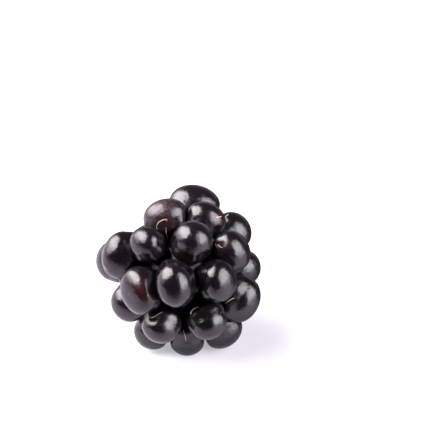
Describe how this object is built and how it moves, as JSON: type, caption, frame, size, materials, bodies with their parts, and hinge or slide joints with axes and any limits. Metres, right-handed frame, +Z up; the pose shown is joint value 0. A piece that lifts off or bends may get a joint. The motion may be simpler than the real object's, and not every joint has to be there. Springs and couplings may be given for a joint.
{
  "type": "bramble berry",
  "caption": "Ripe bramble berry lying on its side: glossy black drupelets pressed together round a firm core, with the pale receptacle in its stem end.",
  "frame": {"origin": "on the surface the berry lies on, under the middle of its outline", "axes": "+Z up; the tip of the berry faces -Y and looks up a little, the stem end faces +Y; +X is to the right seen from the tip end"},
  "size_m": [0.0236, 0.0244, 0.0223],
  "materials": {
    "skin": "glossy purple-black fruit skin with a fine grain",
    "flesh": "matt pale cream-green fruit flesh"
  },
  "bodies": {
    "root": {"drupelets": "skin", "receptacle": "flesh"}
  },
  "joints": []
}
